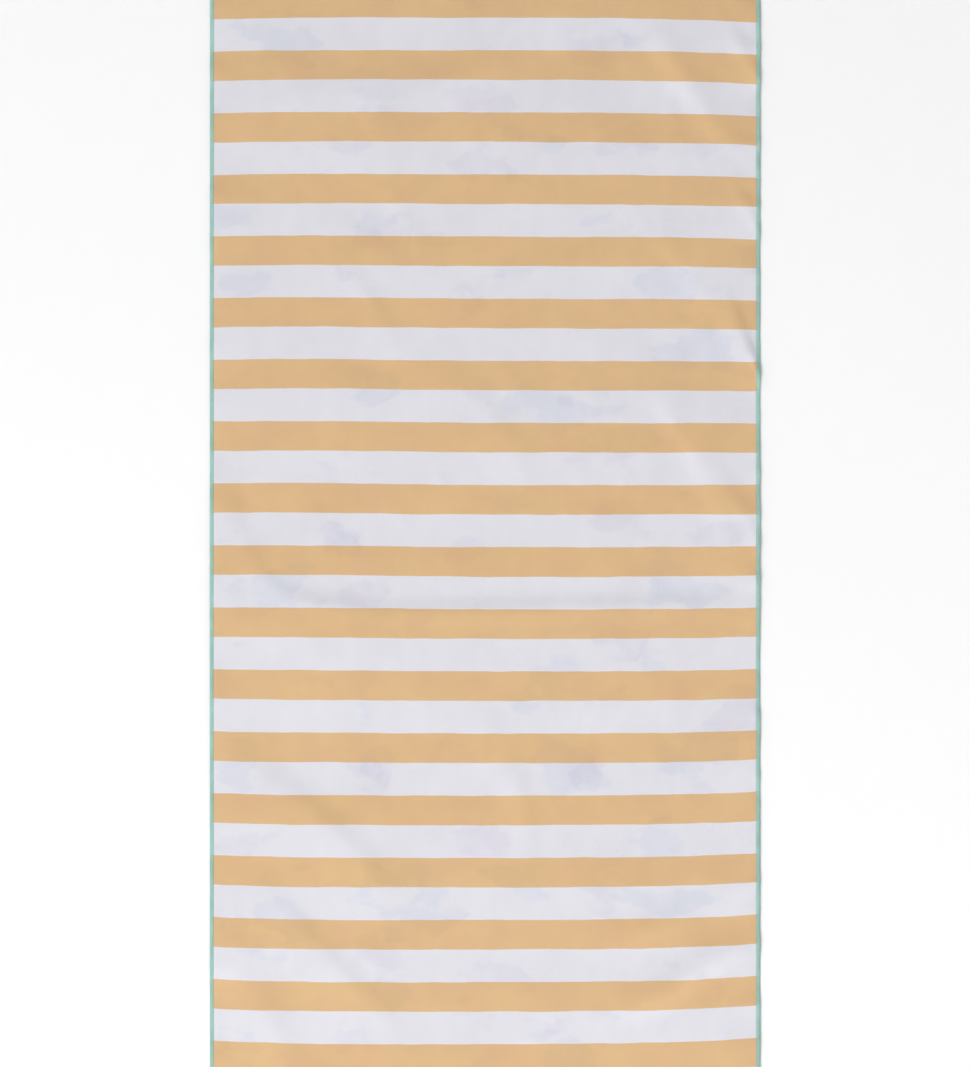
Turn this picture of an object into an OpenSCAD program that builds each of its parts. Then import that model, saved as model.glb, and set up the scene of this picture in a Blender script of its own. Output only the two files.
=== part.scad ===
// Beach towel of one ply of printed suede microfibre, overlocked on all four sides, spread out flat.
// The origin is the centre of the underside. +X runs across the towel, +Y towards its head end, +Z up.
// Every side is sewn with three threads: a needle thread along the inner border of the stitching,
// an upper looper over the top face and a lower looper over the underside. The two loopers wrap the
// cut edge and meet halfway down it.

/* [Cloth] */
// Finished width, edge stitching included
towel_w = 650; // [400:10:1000]
// Finished length, edge stitching included
towel_l = 1350; // [800:10:2000]
// Thickness of the cloth
cloth_t = 0.9; // [0.8:0.05:1.5]
// Thickness of the cloth where the stitches squeeze it
rim_t = 0.5; // [0.3:0.05:0.5]

/* [Edge stitching] */
// Width of a looper layer on the top face
stitch_w = 4.5; // [3:0.5:7]
// Thickness of a looper layer
looper_t = 0.25; // [0.15:0.05:0.3]
// How far the loopers stand out past the cut edge
wrap_t = 0.35; // [0.2:0.05:0.5]
// Width of the needle thread
needle_w = 0.5; // [0.3:0.1:0.8]
// How far the needle thread and the upper looper stand above the cloth
proud_t = 0.15; // [0.05:0.05:0.3]

/* [Care label] */
// Width of the ribbon
label_w = 22; // [15:1:40]
// Length of the folded ribbon outside the stitching
label_l = 30; // [20:1:60]
// Distance from the towel's left edge to the label
label_inset = 60; // [20:5:150]

/* [Hidden] */

rim_top = looper_t + rim_t;       // top of the squeezed rim, which lies on the lower looper
rim_mid = looper_t + rim_t / 2;   // height at which the two loopers meet on the cut edge
stitch_top = cloth_t + proud_t;   // top of the needle thread and of the upper looper
border_w = stitch_w + needle_w;   // whole stitched border, from the finished edge inwards
end_run = towel_w - 2 * border_w; // the end stitching runs between the two side borders
root_l = stitch_w - 1;            // length of the label that the foot stitching holds
leaf_t = 0.4 * looper_t;          // thickness of one leaf of the ribbon
fold_t = 0.5;                     // solid length at the ribbon's fold
past = 1;                         // how far a cutter runs past the face it opens

// The quarter turn that faces each side, its distance from the centre, and its stitched length
SIDES = [
    ["left", 90, towel_w / 2, towel_l],
    ["right", -90, towel_w / 2, towel_l],
    ["head", 0, towel_l / 2, end_run],
    ["foot", 180, towel_l / 2, end_run]
];

function side_of(name) = SIDES[search([name], SIDES)[0]];

// Runs a cross-section along one side. In the section, X is the distance out from the finished edge,
// negative over the cloth, and Y is the height above the underside.
module run_along(name) {
    side = side_of(name);
    rotate([0, 0, side[1]])
        translate([-side[3] / 2, side[2], 0])
            rotate([90, 0, 90])
                linear_extrude(side[3])
                    children();
}

module cloth_panel() color("burlywood") {
    body = [towel_w - 2 * border_w, towel_l - 2 * border_w, cloth_t];
    rim = [towel_w - 2 * wrap_t, towel_l - 2 * wrap_t, rim_t];
    union() {
        translate([-body.x / 2, -body.y / 2, 0]) cube(body);
        translate([-rim.x / 2, -rim.y / 2, looper_t]) cube(rim);
    }
}

module needle_thread(name) color("mediumaquamarine")
    run_along(name)
        translate([-border_w, rim_top])
            square([needle_w, stitch_top - rim_top]);

// A layer over the squeezed rim, and a lip that turns down over the cut edge
module upper_looper(name) color("mediumaquamarine")
    run_along(name)
        polygon([
            [-stitch_w, rim_top], [-wrap_t, rim_top], [-wrap_t, rim_mid],
            [0, rim_mid], [0, stitch_top], [-stitch_w, stitch_top]
        ]);

// The same from below, as wide as the whole border because it also covers the needle thread's loops
module lower_looper(name) color("mediumaquamarine")
    run_along(name)
        polygon([
            [-border_w, 0], [0, 0], [0, rim_mid],
            [-wrap_t, rim_mid], [-wrap_t, looper_t], [-border_w, looper_t]
        ]);

// Places what it is given at the label, with its own origin at the finished edge and +Y towards the cloth
module at_label()
    translate([-towel_w / 2 + label_inset, -towel_l / 2, 0])
        children();

// The lower looper at the foot end opens where the label's root lies under the cloth
module foot_lower_looper() color("mediumaquamarine")
    difference() {
        lower_looper("foot");
        at_label()
            translate([0, -past, -past])
                cube([label_w, root_l + past, looper_t + past]);
    }

// A ribbon folded in half: two leaves with a gap between them, joined at the outer end
module care_label() color("white")
    at_label()
        difference() {
            translate([0, -label_l, 0])
                cube([label_w, label_l + root_l, looper_t]);
            translate([-past, fold_t - label_l, leaf_t])
                cube([label_w + 2 * past, label_l + root_l, looper_t - 2 * leaf_t]);
        }

cloth_panel();
for (side = ["left", "right", "head", "foot"]) {
    needle_thread(side);
    upper_looper(side);
}
for (side = ["left", "right", "head"])
    lower_looper(side);
foot_lower_looper();
care_label();
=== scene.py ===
"""A striped suede-microfibre beach towel, spread out flat on a pale studio floor.

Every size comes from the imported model. The cloth settles on the floor in a simulation. The twelve
sewing threads are then laid on the settled cloth stitch by stitch, and the care label at its foot.
"""

import math

import bpy
import numpy as np
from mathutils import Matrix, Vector


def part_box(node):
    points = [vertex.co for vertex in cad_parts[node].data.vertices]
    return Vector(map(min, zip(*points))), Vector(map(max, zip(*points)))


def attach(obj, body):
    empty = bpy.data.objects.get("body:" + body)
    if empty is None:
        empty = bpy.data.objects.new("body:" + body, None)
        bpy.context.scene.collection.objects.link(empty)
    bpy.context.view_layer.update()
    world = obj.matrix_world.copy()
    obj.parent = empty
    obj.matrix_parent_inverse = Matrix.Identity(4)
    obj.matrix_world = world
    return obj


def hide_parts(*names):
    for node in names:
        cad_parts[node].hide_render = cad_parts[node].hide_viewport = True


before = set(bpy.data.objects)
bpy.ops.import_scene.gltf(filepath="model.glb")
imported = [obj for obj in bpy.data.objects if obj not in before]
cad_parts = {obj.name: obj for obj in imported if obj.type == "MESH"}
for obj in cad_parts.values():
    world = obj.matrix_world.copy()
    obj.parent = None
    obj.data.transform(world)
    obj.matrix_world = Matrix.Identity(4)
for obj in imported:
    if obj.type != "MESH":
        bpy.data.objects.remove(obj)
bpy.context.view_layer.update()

rng = np.random.default_rng(11)

MM = 0.001

# ---------------------------------------------------------------- sizes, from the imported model

half_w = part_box("right_upper_looper")[1].x
half_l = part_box("right_upper_looper")[1].y
cut_inset = half_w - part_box("cloth_panel")[1].x           # finished edge to the cloth's cut edge
stitch_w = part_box("left_upper_looper")[1].x + half_w
border_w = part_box("left_lower_looper")[1].x + half_w
cloth_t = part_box("cloth_panel")[1].z
rim_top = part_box("left_needle_thread")[0].z               # the cloth's faces under the stitches
rim_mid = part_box("left_lower_looper")[1].z
rim_low = 2 * rim_mid - rim_top
stitch_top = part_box("left_upper_looper")[1].z

# ---------------------------------------------------------------- the towel's own dimensions

STRIPE_PITCH = 73.4 * MM      # one orange and one white stripe; an orange one lies on the centre
ORANGE_SHARE = 0.475          # share of the pitch that is orange

SIM_STEP = 7.5 * MM           # grid of the simulated cloth
SIM_FRAMES = 24
CREASE_MEMORY = 0.95          # share of their height that creases keep on the settled cloth
MESH_STEP = 5.0 * MM          # grid of the finished cloth
SQUEEZE_REACH = 1.2 * MM      # how far past the stitching the cloth gets its full thickness back
# The mesh's lines at the border, measured in from the finished edge
BORDER_LINES = np.array([0.8, 1.6, 2.8, 4.0, 4.8, 5.4, 6.2, 7.6, 9.6, 12.5]) * MM

STITCH_PITCH = 2.0 * MM       # length of one overlock stitch
LOOPER_HALF_W = 0.48 * MM     # a looper strand is fluffy and lies flat
NEEDLE_HALF_W = 0.25 * MM
INTERLOCK = 0.12 * MM         # how far each looper passes the middle of the cut edge
TURN_INSET = 0.35 * MM        # how far a looper's turns stay inside its layer's inner edge
WRAP_REACH = 0.9 * MM         # how far in from the cut edge a looper lies flat
LOOP_SHARPNESS = 1.4          # 1 for loops as wide at the needle line as at the edge, more for narrower
STITCH_SCATTER = 0.10 * MM    # how much the stitches vary in their reach over the border,
PITCH_SCATTER = 0.09 * MM     # in their place along it,
LINE_SCATTER = 0.05 * MM      # and in the needle thread's distance from the edge
STRAND_SIDES = 6
PLY_TURN = 2.1 * MM           # length of thread in which its plies turn once
PLIES = 3
FILAMENTS = 15                # fine ridges round a thread

# Where a strand has its points, as shares of one stitch: close together where it turns or dives
LOOP_POINTS = np.array([0, 0.06, 0.14, 0.25, 0.36, 0.44, 0.5, 0.56, 0.64, 0.75, 0.86, 0.94])
NEEDLE_POINTS = np.array([0, 0.07, 0.16, 0.32, 0.5, 0.68, 0.84, 0.93])

LEAF_HALF_T = 0.06 * MM       # half the thickness of one leaf of the label's ribbon
RIBBON_FOLD_R = 0.45 * MM
RIBBON_GAP = 1.2 * MM         # how far the label's leaves stand apart at most
RIBBON_CURL = 0.35 * MM       # how far the upper leaf's sides curl up
SELVEDGE_W = 1.3 * MM

# Colours as they look in even light, in 0 to 255 display values
ORANGE = (219, 184, 136)
ORANGE_PINK = (216, 178, 136)
WHITE = (222, 221, 228)
UNDERSIDE_WHITE = (236, 236, 238)
MINT = (163, 214, 203)
LABEL_WHITE = (236, 236, 234)
FLOOR = (252, 252, 252)
FLECK_ABOVE = (180, 160, 190)
FLECK_BELOW = (170, 140, 180)

# Blots printed on the lower face: (cell size in metres, seed, strength, the tint that shows through
# to the upper face, and the two colours that they have on the lower face)
BLOTS = [
    (0.165, 0.37, 1.0, (212, 226, 244), (150, 186, 216), (142, 206, 196)),
    (0.140, 1.91, 0.8, (226, 213, 236), (196, 180, 216), (240, 190, 172)),
]
SHOW_ON_WHITE = 0.27          # how strongly the blots show through to the white stripes
SHOW_ON_ORANGE = 0.17

# ---------------------------------------------------------------- the cloth's relief

# Soft folds: (height, half width to the left of its line and to the right, all in mm, and the
# line's points in shares of the half width and half length). Most are steeper on one side.
FOLDS = [
    (2.2, 11, 80, [
        (-1.0, 0.19), (-0.86, 0.00), (-0.74, -0.09), (-0.10, -0.092), (0.50, -0.079), (1.0, -0.086)]),
    (2.3, 20, 52, [(-1.04, -0.30), (-0.70, -0.42), (-0.46, -0.51), (-0.28, -0.66)]),
    (1.9, 16, 44, [(-0.90, -0.54), (-0.66, -0.65), (-0.46, -0.76), (-0.30, -0.84)]),
    (1.6, 22, 34, [(-0.98, -0.66), (-0.78, -0.80), (-0.62, -0.98)]),
    (2.2, 14, 40, [(0.92, 0.72), (0.74, 0.84), (0.60, 0.95)]),
    (1.9, 12, 34, [(0.92, 0.00), (0.84, 0.12), (0.72, 0.24), (0.60, 0.31)]),
    (1.2, 12, 22, [(0.84, 0.42), (0.72, 0.53), (0.60, 0.60)]),
    (1.5, 8, 12, [(0.87, 0.46), (0.93, 0.38), (1.00, 0.31)]),
    (2.6, 26, 15, [(0.46, -0.80), (0.74, -0.735), (0.96, -0.655)]),
    (1.5, 26, 14, [(0.34, -0.70), (0.46, -0.56), (0.62, -0.40)]),
    (1.1, 14, 18, [(0.44, -0.66), (0.56, -0.65), (0.74, -0.62)]),
    (0.8, 9, 16, [(-0.36, 0.67), (-0.26, 0.58), (-0.20, 0.49)]),
    (0.9, 10, 22, [(-0.58, 0.56), (-0.44, 0.47), (-0.30, 0.36)]),
    (1.0, 14, 30, [(-0.06, 0.30), (0.12, 0.20), (0.22, 0.05)]),
    (1.1, 12, 24, [(0.04, -0.30), (0.16, -0.44), (0.18, -0.60)]),
    (1.4, 18, 40, [(-0.96, 0.76), (-0.60, 0.84), (-0.20, 0.82), (0.16, 0.90)]),
]

# Puckers that start at a long side: (side, 1 for the right and -1 for the left, place in shares of
# the half length, height and reach in mm)
PUCKERS = [
    (1, 0.90, 2.2, 34),
    (1, 0.63, 2.1, 26),
    (1, 0.47, 1.5, 22),
    (1, 0.11, 1.7, 34),
    (1, -0.17, 1.3, 24),
    (1, -0.44, 1.6, 28),
    (1, -0.70, 2.2, 36),
    (1, -0.90, 1.5, 24),
    (-1, 0.58, 1.4, 30),
    (-1, 0.36, 1.4, 26),
    (-1, 0.10, 1.3, 24),
    (-1, -0.15, 1.8, 34),
    (-1, -0.68, 1.6, 30),
    (-1, -0.86, 1.2, 26),
]

# How tight the seams are sewn, the right one tighter than the left: (shortening, reach into the
# cloth, and the place that isn't pulled either way, in shares of the half length)
TIGHT = {1: (0.0123, 90 * MM, 0.2), -1: (0.0065, 75 * MM, 0.35)}

# Where the cloth was pushed a little towards the head when it was laid down: (place across and
# along, reach across and along, all in shares of the half width or half length, and the shift)
PUSHED = [
    (-0.66, 0.20, 0.42, 0.50, 2.4 * MM),
]

# Small gathers that the seams have set into the cloth: (side, how many, height of the tallest in mm)
GATHERS = [(1, 34, 1.7), (-1, 24, 1.1)]

# The larger creases at the right seam: (place in shares of the half length, height, half width and
# reach in mm, and how far each runs along the towel for every step into it)
SEAM_CREASES = [
    (0.325, 2.3, 11, 34, 2.5),
    (0.850, 1.7, 14, 42, 1.6),
    (0.580, 1.4, 12, 34, 1.8),
    (0.030, 1.3, 14, 44, 1.7),
    (-0.300, 1.0, 12, 30, -1.2),
    (-0.680, 1.6, 13, 40, -1.5),
]


def smooth_step(value, low, high):
    """0 below low, 1 above high, and a smooth rise between them."""
    t = np.clip((value - low) / (high - low), 0, 1)
    return t * t * (3 - 2 * t)


def unit(vectors):
    return vectors / np.linalg.norm(vectors, axis=-1, keepdims=True)


def distance_along(path):
    """How far each point of a path is from its start, along the path."""
    steps = np.linalg.norm(np.diff(path, axis=0), axis=1)
    return np.concatenate([[0], np.cumsum(steps)])


def spline_weights(f):
    """How much each of four neighbours counts in a uniform cubic B-spline, at a fraction f."""
    f = np.asarray(f)[..., None]
    return [
        (1 - f) ** 3 / 6,
        (3 * f**3 - 6 * f**2 + 4) / 6,
        (-3 * f**3 + 3 * f**2 + 3 * f + 1) / 6,
        f**3 / 6,
    ]


def curve(points, places):
    """Places on a smooth curve that follows the points. A place is a point's number, or in between."""
    padded = np.pad(points, [(1, 2), (0, 0)], "reflect", reflect_type="odd")
    first = np.clip(np.floor(places).astype(int), 0, len(points) - 2)
    return sum(w * padded[first + i] for i, w in enumerate(spline_weights(places - first)))


def fold(x, y, height, left_width, right_width, points):
    """A ridge that follows a curve, has its own slope on each side, and fades out at its ends."""
    corners = np.array(points) * (half_w, half_l)
    samples = 200
    share = np.linspace(0, 1, samples)
    line = curve(corners, share * (len(corners) - 1))
    ahead = unit(np.gradient(line, axis=0))
    away_x, away_y = x[..., None] - line[:, 0], y[..., None] - line[:, 1]
    away = np.hypot(away_x, away_y)
    nearest = away.argmin(-1)
    leftward = ahead[:, 0] * away_y - ahead[:, 1] * away_x
    on_left = np.take_along_axis(leftward, nearest[..., None], -1)[..., 0]
    # The two slopes blend over a few millimetres, so that no sharp line forms past a fold's ends
    blend = 5 * MM
    left_share = smooth_step(on_left, -blend, blend)
    width = (right_width + (left_width - right_width) * left_share) * MM
    fade = np.sin(np.pi * np.clip(share[nearest], 0.02, 0.98)) ** 0.6
    return height * MM * fade * np.exp(-((away.min(-1) / width) ** 2))


def pucker(x, y, side, place, height, reach):
    """A small wave that is highest at a long side, and widens and dies out into the cloth."""
    inward = half_w - side * x
    half_width = 11 * MM + 0.25 * inward
    along = (y - place * half_l) / half_width
    return height * MM * np.exp(-(along**2)) * np.exp(-inward / (reach * MM))


def ripples(x, y, shortest, longest, height, count):
    """Unevenness without a pattern: many waves in seeded directions, the long ones highest."""
    total = np.zeros_like(x)
    for _ in range(count):
        length = shortest * (longest / shortest) ** rng.random()
        turn, phase = rng.random(2) * 2 * np.pi
        wave = (x * np.cos(turn) + y * np.sin(turn)) * 2 * np.pi / length + phase
        total += np.cos(wave) * length / longest
    return total * height / math.sqrt(count)


def seeded_gathers():
    """Short ridges that start at the seams: side, place, height, half width, reach and slant."""
    made = [
        (1, place * half_l, tall * MM, half_width * MM, reach * MM, slant)
        for place, tall, half_width, reach, slant in SEAM_CREASES
    ]
    for side, count, tallest in GATHERS:
        for even_place in np.linspace(-0.97, 0.97, count):
            draw = rng.random(5)
            place = (even_place + 0.9 * (draw[0] - 0.5) / count) * half_l
            tall = tallest * MM * (0.15 + 0.85 * draw[1] ** 2)
            half_width = (6.5 + 4 * draw[2]) * MM
            reach = (9 + 26 * draw[3]) * MM
            slant = 1.2 * (draw[4] - 0.5)
            made.append((side, place, tall, half_width, reach, slant))
    return made


def gathers(u, v):
    """The height of the gathers over the flat cloth's coordinates."""
    height = np.zeros_like(u)
    for side, place, tall, half_width, reach, slant in SEEDED_GATHERS:
        inward = half_w - side * u
        across = (v - place - slant * inward) / (half_width + 0.15 * inward)
        height += tall * np.exp(-(across**2)) * np.exp(-((inward / reach) ** 2))
    return height


def rumpled():
    """The cloth as it is put down: a grid of points, a row for each Y, and its creases' height."""
    columns = round(2 * half_w / SIM_STEP) + 1
    rows = round(2 * half_l / SIM_STEP) + 1
    x, y = np.meshgrid(np.linspace(-half_w, half_w, columns), np.linspace(-half_l, half_l, rows))
    creases = sum(fold(x, y, *described) for described in FOLDS)
    creases += ripples(x, y, shortest=60 * MM, longest=320 * MM, height=1.0 * MM, count=70)
    z = creases.copy()
    for side, place, height, reach in PUCKERS:
        z += pucker(x, y, side, place, height, reach)
    near_side = np.exp(-(half_w - np.abs(x)) / (30 * MM))
    z += near_side * ripples(x, y, shortest=45 * MM, longest=110 * MM, height=0.5 * MM, count=40)
    pulled = y.copy()
    for side, (shortening, reach, still) in TIGHT.items():
        pulled -= (y - still * half_l) * shortening * np.exp(-(half_w - side * x) / reach)
    for across, along, reach_across, reach_along, shift in PUSHED:
        off_x = (x / half_w - across) / reach_across
        off_y = (y / half_l - along) / reach_along
        pulled += shift * np.exp(-(off_x**2 + off_y**2))
    return np.stack([x, pulled, z - z.min()], -1), creases


# ---------------------------------------------------------------- meshes

def grid_faces(rows, columns, first=0, flip=False, wrap=False):
    """The quads between the points of a grid; wrap joins its last column to its first."""
    row, column = np.meshgrid(np.arange(rows - 1), np.arange(columns - (not wrap)), indexing="ij")
    a = row * columns + column
    b = row * columns + (column + 1) % columns
    quads = np.stack([a, b, b + columns, a + columns], -1).reshape(-1, 4) + first
    return quads[:, ::-1] if flip else quads


def mesh_object(name, points, faces):
    """A smooth-shaded mesh object from points and faces."""
    mesh = bpy.data.meshes.new(name)
    mesh.from_pydata(np.asarray(points).reshape(-1, 3).tolist(), [], [list(f) for f in faces])
    mesh.validate()
    mesh.shade_smooth()
    made = bpy.data.objects.new(name, mesh)
    bpy.context.scene.collection.objects.link(made)
    return made


def joined_edge(rows, columns):
    """The quads round the outside of two grids of the same shape, the second one's points last."""
    number = np.arange(rows * columns).reshape(rows, columns)
    ring = np.concatenate([number[0, :-1], number[:-1, -1], number[-1, :0:-1], number[:0:-1, 0]])
    after = np.roll(ring, -1)
    return np.stack([ring, ring + rows * columns, after + rows * columns, after], -1)


def point_vectors(piece, name, values):
    """Stores a vector for each of a piece's points, for its material to read."""
    attribute = piece.data.attributes.new(name, "FLOAT_VECTOR", "POINT")
    attribute.data.foreach_set("vector", np.asarray(values, np.float32).ravel())


# ---------------------------------------------------------------- the cloth settles on the floor

def settle(start):
    """Lets the cloth sink on the floor under its weight while the stitched seams draw in."""
    rows, columns = start.shape[:2]
    drop = 2 * MM
    cloth = mesh_object("settling", start + (0, 0, drop), grid_faces(rows, columns))
    # Each side's seam draws in by its own share of the most that the cloth may shrink
    seam = cloth.vertex_groups.new(name="seam")
    number = np.arange(rows * columns).reshape(rows, columns)
    left, right, ends = number[:, 0], number[:, -1], number[[0, -1]].ravel()
    for points, share in ((left, 0.35), (right, 1.0), (ends, 0.3)):
        seam.add(points.tolist(), share, "REPLACE")

    reach = 2 * half_l
    corners = [(-reach, -reach, 0), (reach, -reach, 0), (reach, reach, 0), (-reach, reach, 0)]
    ground = mesh_object("ground", corners, [(0, 1, 2, 3)])
    ground.modifiers.new("solid", "COLLISION")
    ground.collision.thickness_outer = 0.5 * MM
    ground.collision.cloth_friction = 2

    modifier = cloth.modifiers.new("cloth", "CLOTH")
    fabric = modifier.settings
    fabric.quality = 6
    fabric.mass = 0.02
    fabric.tension_stiffness = 12
    fabric.compression_stiffness = 12
    fabric.shear_stiffness = 6
    fabric.bending_stiffness = 10
    fabric.air_damping = 2
    fabric.vertex_group_shrink = "seam"
    fabric.shrink_max = 0.01
    modifier.collision_settings.distance_min = 1 * MM
    modifier.collision_settings.friction = 2
    modifier.collision_settings.use_self_collision = False
    modifier.point_cache.frame_end = SIM_FRAMES
    for frame_number in range(1, SIM_FRAMES + 1):
        bpy.context.scene.frame_set(frame_number)

    drawn = cloth.evaluated_get(bpy.context.evaluated_depsgraph_get()).to_mesh()
    settled = np.zeros(rows * columns * 3)
    drawn.vertices.foreach_get("co", settled)
    settled = settled.reshape(rows, columns, 3)
    for helper in (cloth, ground):
        bpy.data.objects.remove(helper)
    bpy.context.scene.frame_set(1)
    settled[..., :2] -= (settled - start)[..., :2].mean((0, 1))
    settled[..., 2] -= settled[..., 2].min()
    return settled


def soothe(grid, passes=2):
    """Takes the solver's finest unevenness out of a grid of points."""
    for _ in range(passes):
        for axis in (0, 1):
            margin = [(1, 1) if axis == i else (0, 0) for i in range(3)]
            wide = np.pad(grid, margin, "reflect", reflect_type="odd")
            count = grid.shape[axis]
            before, after = (np.take(wide, range(start, start + count), axis) for start in (0, 2))
            grid = (before + 2 * grid + after) / 4
    return grid


def spread_out():
    """The grid of the towel's underside as it lies, with what is left of its creases."""
    start, creases = rumpled()
    lying = soothe(settle(start))
    lying[..., 2] += CREASE_MEMORY * creases
    lying[..., 2] -= lying[..., 2].min()
    return lying


SEEDED_GATHERS = seeded_gathers()
underside = spread_out()
padded_underside = np.pad(underside, [(1, 2), (1, 2), (0, 0)], "reflect", reflect_type="odd")


def under(u, v):
    """Points of the underside over the flat cloth's coordinates u and v."""
    last_row, last_column = (count - 1 for count in underside.shape[:2])
    row, column = (v / half_l + 1) / 2 * last_row, (u / half_w + 1) / 2 * last_column
    i = np.clip(np.floor(row).astype(int), 0, last_row - 1)
    j = np.clip(np.floor(column).astype(int), 0, last_column - 1)
    by_row, by_column = spline_weights(row - i), spline_weights(column - j)
    points = sum(
        by_row[a] * by_column[b] * padded_underside[i + a, j + b] for a in range(4) for b in range(4)
    )
    points[..., 2] += gathers(u, v)
    return points


def normal_of(u, v, reach=0.5 * MM):
    """The upward normals of the cloth over flat coordinates."""
    along_u = under(u + reach, v) - under(u - reach, v)
    along_v = under(u, v + reach) - under(u, v - reach)
    return unit(np.cross(along_u, along_v))


def above(u, v, height):
    """Points at a height above the underside, measured along the cloth's normals."""
    return under(u, v) + normal_of(u, v) * np.asarray(height)[..., None]


# ---------------------------------------------------------------- the cloth

def cut_lines(half):
    """Where the mesh's lines cross one direction: close together at the border, evenly inside."""
    inner = half - BORDER_LINES[-1]
    count = round(2 * inner / MESH_STEP)
    middle = np.linspace(-inner, inner, count + 1)[1:-1]
    return np.concatenate([BORDER_LINES - half, middle, half - BORDER_LINES[::-1]])


def make_cloth():
    """The printed cloth: two faces and a cut edge, squeezed thin under the stitching."""
    across, along = cut_lines(half_w), cut_lines(half_l)
    u, v = np.meshgrid(across, along)
    inset = np.minimum(half_w - np.abs(u), half_l - np.abs(v))
    free = smooth_step(inset, stitch_w, border_w + SQUEEZE_REACH)
    top = above(u, v, rim_top + (cloth_t - rim_top) * free)
    low = above(u, v, rim_low * (1 - free))
    rows, columns = u.shape
    faces = np.concatenate([
        grid_faces(rows, columns),
        grid_faces(rows, columns, first=rows * columns, flip=True),
        joined_edge(rows, columns),
    ])
    points = np.concatenate([top.reshape(-1, 3), low.reshape(-1, 3)])
    cloth = mesh_object("towel_cloth", points, faces)
    cut = [np.stack([u, v, np.full_like(u, face)], -1).reshape(-1, 3) for face in (1, -1)]
    point_vectors(cloth, "cut", np.concatenate(cut))
    return cloth


# ---------------------------------------------------------------- the overlock stitching

def on_side(side, along, inset):
    """Flat coordinates of a place along a side, at an inset from its finished edge."""
    return {
        "left": (inset - half_w, along),
        "right": (half_w - inset, along),
        "head": (along, half_l - inset),
        "foot": (along, inset - half_l),
    }[side]


def run_of(side):
    """Half the length of a side's stitching."""
    return half_l if side in ("left", "right") else half_w - border_w


def strand(name, path, flat, half_width, half_thick):
    """A closed tube along a path: half_thick towards the flat's vectors, half_width across them."""
    tangent = unit(np.gradient(path, axis=0))
    across = unit(np.cross(tangent, flat))
    up = np.cross(across, tangent)
    turn = np.linspace(0, 2 * np.pi, STRAND_SIDES, endpoint=False)
    wide = half_width * np.cos(turn)[None, :, None] * across[:, None]
    thick = half_thick * np.sin(turn)[None, :, None] * up[:, None]
    rings = path[:, None] + wide + thick
    count = len(path) * STRAND_SIDES
    faces = grid_faces(len(path), STRAND_SIDES, flip=True, wrap=True).tolist()
    faces += [list(range(STRAND_SIDES)), list(range(count - 1, count - STRAND_SIDES - 1, -1))]
    made = mesh_object(name, rings, faces)
    twist = np.zeros((len(path), STRAND_SIDES, 3))
    twist[..., 0] = distance_along(path)[:, None]
    twist[..., 1] = np.cos(turn)
    twist[..., 2] = np.sin(turn)
    point_vectors(made, "twist", twist)
    return made


def uneven(count, points, amount):
    """A seeded unevenness that changes smoothly from stitch to stitch."""
    knots = rng.normal(0, amount, (count + 2, 1))
    return curve(knots, np.arange(points) / (points - 1) * count)[:, 0]


def stitches_along(side, fractions):
    """Stitch numbers with fractions for every point of a thread, and the places along the side."""
    count = round(2 * run_of(side) / STITCH_PITCH)
    phase = np.append((np.arange(count)[:, None] + fractions).ravel(), count)
    return phase, count, (2 * phase / count - 1) * run_of(side)


def looper(side, upper):
    """A thread that swings between the needle line and the cut edge, which it wraps round."""
    phase, count, along = stitches_along(side, LOOP_POINTS)
    shift = 0 if upper else 0.5
    swing = (0.5 + 0.5 * np.cos(2 * np.pi * (phase + shift))) ** LOOP_SHARPNESS
    half_thick = (stitch_top - rim_top) / 2 if upper else rim_low / 2
    near, far = cut_inset / 2, (stitch_w if upper else border_w) - TURN_INSET
    inset = near + (far + uneven(count, len(phase), STITCH_SCATTER) - near) * swing
    along = along + uneven(count, len(phase), PITCH_SCATTER)
    along = np.clip(along, -run_of(side), run_of(side))
    flat_part = smooth_step(inset, near, near + WRAP_REACH)
    if upper:
        layer, wrapped = stitch_top - half_thick, rim_mid - INTERLOCK
    else:
        layer, wrapped = half_thick, rim_mid + INTERLOCK
    height = wrapped + (layer - wrapped) * flat_part
    u, v = on_side(side, along, inset)
    outer_u, outer_v = on_side(side, along, inset - MM)
    outward = unit(under(outer_u, outer_v) - under(u, v))
    facing = flat_part[:, None] * normal_of(u, v) + (1 - flat_part)[:, None] * outward
    name = f"{side}_{'upper' if upper else 'lower'}_looper"
    made = strand(name + "_stitches", above(u, v, height), unit(facing), LOOPER_HALF_W, half_thick)
    return made, name


def needle_thread(side):
    """A row of short straight stitches that dive through the cloth between one and the next."""
    phase, count, along = stitches_along(side, NEEDLE_POINTS)
    dive = np.exp(-((np.minimum(phase % 1, 1 - phase % 1) / 0.08) ** 2))
    half_thick = (stitch_top - rim_top) / 2
    height = stitch_top - half_thick - dive * (stitch_top - rim_low)
    inset = (stitch_w + border_w) / 2 + uneven(count, len(phase), LINE_SCATTER)
    u, v = on_side(side, along, inset)
    # A diving strand runs along the cloth's normal, so its flat side faces a little inwards as well
    inward_u, inward_v = on_side(side, along, inset + MM)
    facing = normal_of(u, v) + 0.3 * unit(under(inward_u, inward_v) - under(u, v))
    name = f"{side}_needle_thread"
    made = strand(name + "_stitches", above(u, v, height), unit(facing), NEEDLE_HALF_W, half_thick)
    return made, name


# ---------------------------------------------------------------- the care label

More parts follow.
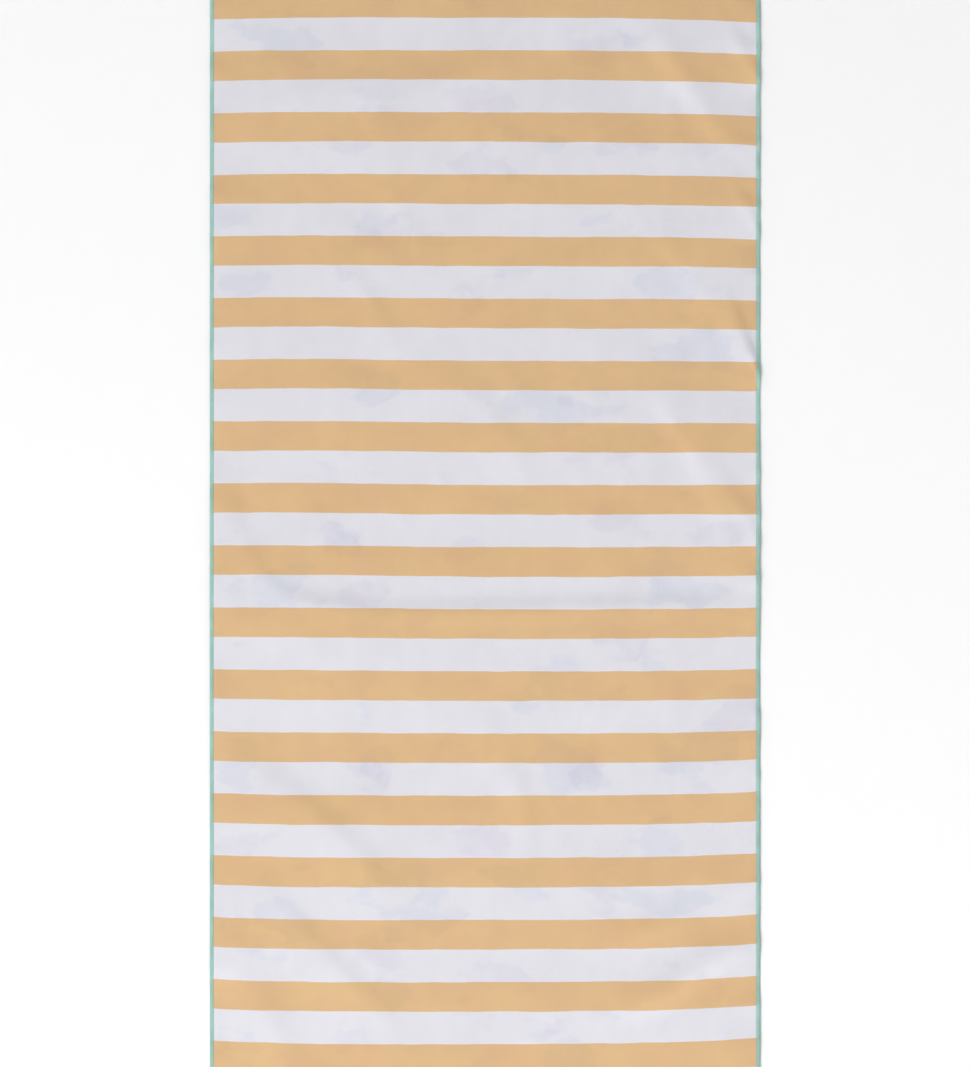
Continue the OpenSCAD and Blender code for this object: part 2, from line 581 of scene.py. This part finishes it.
def ribbon_profile(root_y, root_z, length):
    """The folded ribbon's middle line in Y and Z, out along the lower leaf and back on the upper."""
    out = np.linspace(0, 1, 22)
    droop = 1 - smooth_step(out, 0.05, 0.55)
    reach = length - RIBBON_FOLD_R
    lower = np.stack([root_y - reach * out, LEAF_HALF_T + (root_z - LEAF_HALF_T) * droop], -1)
    turn = np.linspace(-90, 90, 9)[1:-1] * math.pi / 180
    bend = lower[-1] + (0, RIBBON_FOLD_R) + RIBBON_FOLD_R * np.stack([-np.cos(turn), np.sin(turn)], -1)
    apart = 2 * LEAF_HALF_T + (2 * RIBBON_FOLD_R - 2 * LEAF_HALF_T) * out
    apart += RIBBON_GAP * np.sin(np.pi * out) ** 2
    upper = lower + np.stack([np.zeros_like(out), apart], -1)
    return np.concatenate([lower, bend, upper[::-1]])


def make_label():
    """A satin ribbon folded in half, held under the foot stitching and lying on the floor."""
    low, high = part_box("care_label")
    middle, half_ribbon = (low.x + high.x) / 2, (high.x - low.x) / 2
    foot = under(np.array([middle]), np.array([-half_l]))[0]
    profile = ribbon_profile(foot[1] + high.y + half_l, foot[2] + rim_low / 2, high.y - low.y)
    tangent = unit(np.gradient(profile, axis=0))
    outward = np.stack([tangent[:, 1], -tangent[:, 0]], -1) * LEAF_HALF_T
    across = np.linspace(-1, 1, 15)
    upper_leaf = smooth_step(np.linspace(0, 1, len(profile)), 0.55, 0.8)[:, None]
    rows, columns = len(profile), len(across)
    faces_of_ribbon = []
    for line in (profile + outward, profile - outward):
        sheet = np.zeros((rows, columns, 3))
        sheet[..., 0] = middle + half_ribbon * across
        sheet[..., 1] = line[:, :1]
        sheet[..., 2] = line[:, 1:] + RIBBON_CURL * across**2 * upper_leaf
        faces_of_ribbon.append(sheet.reshape(-1, 3))
    quads = np.concatenate([
        grid_faces(rows, columns, flip=True),
        grid_faces(rows, columns, first=rows * columns),
        joined_edge(rows, columns),
    ])
    label = mesh_object("care_label_ribbon", np.concatenate(faces_of_ribbon), quads)
    woven = np.zeros((rows, columns, 3))
    woven[..., 0] = across * half_ribbon
    woven[..., 1] = distance_along(profile)[:, None]
    point_vectors(label, "woven", np.concatenate([woven.reshape(-1, 3)] * 2))
    return label


# ---------------------------------------------------------------- materials

def linear(display):
    """A display colour, 0 to 255, as the linear colour that Blender works in."""
    share = np.array(display) / 255
    value = np.where(share <= 0.04045, share / 12.92, ((share + 0.055) / 1.055) ** 2.4)
    return (*value.tolist(), 1.0)


class Shader:
    """A material under construction. Each call adds one node and returns the output asked for."""

    def __init__(self, name, roughness, **constants):
        self.material = bpy.data.materials.new(name)
        self.material.use_nodes = True
        self.tree = self.material.node_tree
        self.surface = self.tree.nodes["Principled BSDF"]
        self.surface.inputs["Roughness"].default_value = roughness
        for socket, value in constants.items():
            self.surface.inputs[socket.replace("_", " ")].default_value = value

    def put(self, socket, value):
        if isinstance(value, bpy.types.NodeSocket):
            self.tree.links.new(value, socket)
        else:
            socket.default_value = value

    def node(self, kind, inputs, output=0, **settings):
        made = self.tree.nodes.new("ShaderNode" + kind)
        for name, value in settings.items():
            setattr(made, name, value)
        for socket, value in inputs.items():
            self.put(made.inputs[socket], value)
        return made.outputs[output]

    def math(self, operation, a, b=0.0, c=0.0):
        return self.node("Math", {0: a, 1: b, 2: c}, operation=operation)

    def attribute(self, name):
        vector = self.node("Attribute", {}, "Vector", attribute_name=name)
        parts = self.tree.nodes.new("ShaderNodeSeparateXYZ")
        self.put(parts.inputs[0], vector)
        return vector, parts.outputs["X"], parts.outputs["Y"], parts.outputs["Z"]

    def stretch(self, vector, scale, offset=(0, 0, 0)):
        return self.node("Mapping", {"Vector": vector, "Scale": scale, "Location": offset})

    def noise(self, vector, size, detail=2.0, roughness=0.5):
        """Noise from 0 to 1 whose blots are about size metres across."""
        return self.node("TexNoise", {
            "Vector": vector, "Scale": 1 / size, "Detail": detail, "Roughness": roughness})

    def between(self, value, low, high, start=0.0, end=1.0):
        """A smooth change from start to end as value goes from low to high."""
        return self.node("MapRange", {
            "Value": value, "From Min": low, "From Max": high, "To Min": start, "To Max": end,
        }, interpolation_type="SMOOTHSTEP")

    def mix(self, factor, a, b, blend="MIX"):
        return self.node("Mix", {0: factor, 6: a, 7: b}, 2, data_type="RGBA", blend_type=blend)

    def shade(self, colour, amount):
        """The colour made lighter or darker by an amount that is 1 where nothing changes."""
        grey = self.node("CombineColor", {0: amount, 1: amount, 2: amount})
        return self.mix(1.0, colour, grey, "MULTIPLY")

    def bump(self, height, depth):
        normal = self.node("Bump", {"Height": height, "Distance": depth, "Strength": 1.0})
        self.put(self.surface.inputs["Normal"], normal)

    def colour(self, colour):
        self.put(self.surface.inputs["Base Color"], colour)
        return self.material


def watercolour(shader, cut, size, seed, amount):
    """Ragged blots, one to a cell of about size metres: their strength, and a number for each blot."""
    moved = shader.stretch(cut, (1, 1.5, 1), (seed, 2 * seed, 0))
    cells = {"Vector": moved, "Scale": 1 / size, "Randomness": 0.85}
    reach = shader.node("TexVoronoi", cells, "Distance", voronoi_dimensions="2D")
    random = shader.node("TexVoronoi", cells, "Color", voronoi_dimensions="2D")
    parts = shader.tree.nodes.new("ShaderNodeSeparateColor")
    shader.put(parts.inputs[0], random)
    lobes = shader.math("SUBTRACT", shader.noise(moved, 55 * MM, 2.0), 0.5)
    fringe = shader.math("SUBTRACT", shader.noise(cut, 14 * MM, 3.0, 0.6), 0.5)
    ragged = shader.math("MULTIPLY_ADD", lobes, 1.1, reach)
    ragged = shader.math("MULTIPLY_ADD", fringe, 0.18, ragged)
    limit = shader.between(parts.outputs["Red"], 0.0, 1.0, -0.06, 0.24)
    body = shader.between(shader.math("SUBTRACT", ragged, limit), -0.06, 0.07, 1.0, 0.0)
    pool = shader.between(shader.noise(cut, 24 * MM, 3.0), 0.3, 0.7, 0.55, 1.0)
    wash = shader.math("MULTIPLY", body, pool)
    return shader.math("MULTIPLY", wash, amount), parts.outputs["Green"]


def speckles(shader, cut):
    """Fine flecks of ink in a few loose groups."""
    group = shader.between(shader.noise(cut, 130 * MM, 2.0), 0.56, 0.64)
    fleck = shader.between(shader.noise(cut, 3.5 * MM, 2.0, 0.6), 0.56, 0.64)
    return shader.math("MULTIPLY", group, fleck)


def cloth_material():
    """Suede microfibre: stripes printed on the upper face, watercolour blots on the lower one."""
    shader = Shader("printed_suede_microfibre", 0.92, Specular_IOR_Level=0.18,
                    Sheen_Weight=0.12, Sheen_Roughness=0.45)
    cut, _, along, face = shader.attribute("cut")
    flat = shader.stretch(cut, (1, 1, 0))

    # The stripes, with the slight wander and soft edge of a print on a brushed face
    wander = shader.math("SUBTRACT", shader.noise(flat, 90 * MM), 0.5)
    waver = shader.math("SUBTRACT", shader.noise(flat, 34 * MM, 1.0), 0.5)
    fibre_and_painted_shade = shader.noise(flat, 0.7 * MM, 3.0, 0.6)
    ragged = shader.math("SUBTRACT", fibre_and_painted_shade, 0.5)
    place = shader.math("MULTIPLY_ADD", wander, 1.8 * MM, along)
    place = shader.math("MULTIPLY_ADD", waver, 1.6 * MM, place)
    place = shader.math("MULTIPLY_ADD", ragged, 0.7 * MM, place)
    away = shader.math("PINGPONG", place, STRIPE_PITCH / 2)
    edge = STRIPE_PITCH * ORANGE_SHARE / 2
    orange_part = shader.between(away, edge - 0.3 * MM, edge + 0.3 * MM, 1.0, 0.0)
    dye = shader.noise(shader.stretch(flat, (1, 1.4, 1)), 60 * MM, 3.0)
    orange = shader.mix(shader.between(dye, 0.2, 0.8), linear(ORANGE), linear(ORANGE_PINK))
    upper = shader.mix(orange_part, linear(WHITE), orange)

    # The print on the other face shows through a little, and is paler on the orange stripes
    lower = linear(UNDERSIDE_WHITE)
    for size, seed, strength, ghost, first, second in BLOTS:
        blot, choice = watercolour(shader, flat, size, seed, strength)
        ink = shader.between(orange_part, 0.0, 1.0, SHOW_ON_WHITE, SHOW_ON_ORANGE)
        show = shader.math("MULTIPLY", blot, ink)
        upper = shader.mix(show, upper, linear(ghost), "MULTIPLY")
        tint = shader.mix(shader.between(choice, 0.45, 0.55), linear(first), linear(second))
        lower = shader.mix(shader.math("MULTIPLY", blot, 0.85), lower, tint)
    fleck = speckles(shader, flat)
    upper = shader.mix(shader.math("MULTIPLY", fleck, 0.08), upper, linear(FLECK_ABOVE))
    lower = shader.mix(shader.math("MULTIPLY", fleck, 0.6), lower, linear(FLECK_BELOW))
    printed = shader.mix(shader.math("GREATER_THAN", face, 0.0), lower, upper)

    # The nap lies this way and that in soft patches, and the fibres vary in tone: both are painted
    # shade, lighter where the bump is higher and darker where it is lower; the broad patches vary in
    # tone at random
    brushed_nap_and_painted_shade = shader.noise(shader.stretch(flat, (1.0, 0.6, 1)), 22 * MM, 3.0, 0.55)
    patch = shader.noise(flat, 75 * MM, 2.0)
    tone = shader.between(brushed_nap_and_painted_shade, 0.25, 0.75, 0.985, 1.015)
    tone = shader.math("MULTIPLY", tone, shader.between(patch, 0.3, 0.7, 0.988, 1.012))
    tone = shader.math("MULTIPLY", tone, shader.between(fibre_and_painted_shade, 0.3, 0.7, 0.985, 1.015))
    height = shader.math("MULTIPLY_ADD", brushed_nap_and_painted_shade, 0.8, fibre_and_painted_shade)
    shader.bump(height, 0.06 * MM)
    shader.put(shader.surface.inputs["Roughness"], shader.between(brushed_nap_and_painted_shade, 0.3, 0.7, 0.86, 0.96))
    return shader.colour(shader.shade(printed, tone))


def thread_material():
    """Fluffy mint polyester: twisted plies of fine filaments, whose tone drifts along the seam. Painted
    shade darkens the grooves between the plies and filaments and the low fluff, where the bump is
    lowest.
    """
    shader = Shader("mint_overlock_thread", 0.7, Specular_IOR_Level=0.3,
                    Sheen_Weight=0.2, Sheen_Roughness=0.35)
    twist, along, across, up = shader.attribute("twist")
    turn = shader.math("ARCTAN2", up, across)
    lay = shader.math("MULTIPLY_ADD", along, 2 * math.pi / PLY_TURN, turn)
    ply_and_painted_shade = shader.between(shader.math("SINE", shader.math("MULTIPLY", lay, PLIES)), -1.0, 1.0)
    filament_and_painted_shade = shader.between(shader.math("SINE", shader.math("MULTIPLY", lay, FILAMENTS)), -1.0, 1.0)
    fluff_and_painted_shade = shader.noise(shader.stretch(twist, (1, 0.25 * MM, 0.25 * MM)), 0.25 * MM, 3.0, 0.65)
    place = shader.node("TexCoord", {}, "Object")
    drift = shader.noise(place, 32 * MM, 2.0)
    tone = shader.between(drift, 0.3, 0.7, 0.90, 1.07)
    # Painted shade: the grooves between the plies and filaments and the low fluff are darker, following
    # the bump's height
    tone = shader.math("MULTIPLY", tone, shader.between(ply_and_painted_shade, 0.0, 1.0, 0.90, 1.04))
    tone = shader.math("MULTIPLY", tone, shader.between(filament_and_painted_shade, 0.0, 1.0, 0.95, 1.02))
    tone = shader.math("MULTIPLY", tone, shader.between(fluff_and_painted_shade, 0.3, 0.7, 0.94, 1.05))
    height = shader.math("MULTIPLY_ADD", filament_and_painted_shade, 0.3, ply_and_painted_shade)
    shader.bump(shader.math("MULTIPLY_ADD", fluff_and_painted_shade, 0.6, height), 0.06 * MM)
    return shader.colour(shader.shade(linear(MINT), tone))


def label_material():
    """White satin ribbon with a denser selvedge along both sides."""
    shader = Shader("white_satin_ribbon", 0.45, Specular_IOR_Level=0.4, Sheen_Weight=0.1)
    woven, across, along, _ = shader.attribute("woven")
    low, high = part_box("care_label")
    half = (high.x - low.x) / 2
    weft = shader.math("SINE", shader.math("MULTIPLY", along, 2 * math.pi / (0.3 * MM)))
    warp = shader.math("SINE", shader.math("MULTIPLY", across, 2 * math.pi / (0.2 * MM)))
    inner = half - SELVEDGE_W
    selvedge = shader.between(shader.math("ABSOLUTE", across), inner, inner + 0.3 * MM)
    slub = shader.noise(shader.stretch(woven, (1, 0.15, 1)), 0.6 * MM, 2.0)
    weave = shader.math("MULTIPLY_ADD", warp, 0.4, weft)
    shader.bump(shader.math("MULTIPLY_ADD", selvedge, 1.5, weave), 0.004 * MM)
    tone = shader.between(slub, 0.3, 0.7, 0.95, 1.02)
    return shader.colour(shader.shade(linear(LABEL_WHITE), tone))


def floor_material():
    """A pale matt floor with a barely visible unevenness of tone."""
    shader = Shader("pale_studio_floor", 0.8, Specular_IOR_Level=0.1)
    place = shader.node("TexCoord", {}, "Object")
    tone = shader.between(shader.noise(place, 0.4, 3.0), 0.3, 0.7, 0.995, 1.0)
    return shader.colour(shader.shade(linear(FLOOR), tone))


# ---------------------------------------------------------------- putting it together

def dress(piece, material, slot, *nodes):
    """Gives a piece its material and its body, and hides the nodes that it stands for. Its slot is not
    used.
    """
    piece.data.materials.append(material)
    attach(piece, "root")
    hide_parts(*nodes)


cloth = make_cloth()
dress(cloth, cloth_material(), "printed_cloth", "cloth_panel")
thread = thread_material()
for side in ("left", "right", "head", "foot"):
    for piece, node in (needle_thread(side), looper(side, True), looper(side, False)):
        dress(piece, thread, "edge_thread", node)
label = make_label()
dress(label, label_material(), "label_ribbon", "care_label")

# ---------------------------------------------------------------- floor, light and camera

ROOM_R = 12.0
CORNER_R = 3.0
WALL_H = 7.0
FLOOR_GAP = 0.2 * MM          # the floor lies this far below the towel, so that the two don't touch


def make_room():
    """A round floor that curves up into a wall, so that no horizon shows."""
    flat_r = ROOM_R - CORNER_R
    corner = np.linspace(0, np.pi / 2, 13)[1:]
    profile = [(r, 0) for r in (0.6, 1.5, 3.0, flat_r)]
    profile += [(flat_r + CORNER_R * math.sin(t), CORNER_R * (1 - math.cos(t))) for t in corner]
    profile += [(ROOM_R, WALL_H)]
    around = np.linspace(0, 2 * np.pi, 96, endpoint=False)
    radius, height = np.array(profile).T
    rings = np.stack([
        radius[:, None] * np.cos(around), radius[:, None] * np.sin(around),
        np.broadcast_to(height[:, None], (len(radius), len(around))),
    ], -1)
    faces = grid_faces(len(radius), len(around), wrap=True, flip=True).tolist()
    faces.append(list(range(len(around))))
    room = mesh_object("floor", rings - (0, 0, FLOOR_GAP), faces)
    room.data.materials.append(floor_material())


def lamp(name, place, size, power):
    """A square softbox that faces the towel."""
    light = bpy.data.lights.new(name, "AREA")
    light.size = size
    light.energy = power
    made = bpy.data.objects.new(name, light)
    made.location = place
    made.rotation_euler = Vector(place).to_track_quat("Z", "Y").to_euler()
    bpy.context.scene.collection.objects.link(made)


make_room()
lamp("key", (-3.6, -8.2, 5.9), 4.7, 1070)
world = bpy.data.worlds.new("studio")
world.use_nodes = True
world.node_tree.nodes["Background"].inputs["Color"].default_value = (1, 1, 1, 1)
world.node_tree.nodes["Background"].inputs["Strength"].default_value = 0.43
bpy.context.scene.world = world
bpy.context.scene.view_settings.view_transform = "Standard"

# The camera looks straight down. The towel fills 56.7% of the picture's width and runs off both of
# its ends, and the picture's middle is a little nearer the head than the towel's.
TOWEL_SHARE = 0.567
VIEW_OFFSET = 0.025
IMAGE_SHAPE = 1067 / 970
LENS = 85
camera = bpy.data.objects.new("camera", bpy.data.cameras.new("camera"))
camera.data.lens = LENS
view_height = 2 * half_w / TOWEL_SHARE * IMAGE_SHAPE
distance = view_height * LENS / camera.data.sensor_width
camera.location = (0, VIEW_OFFSET * 2 * half_l, distance)
bpy.context.scene.collection.objects.link(camera)
bpy.context.scene.camera = camera
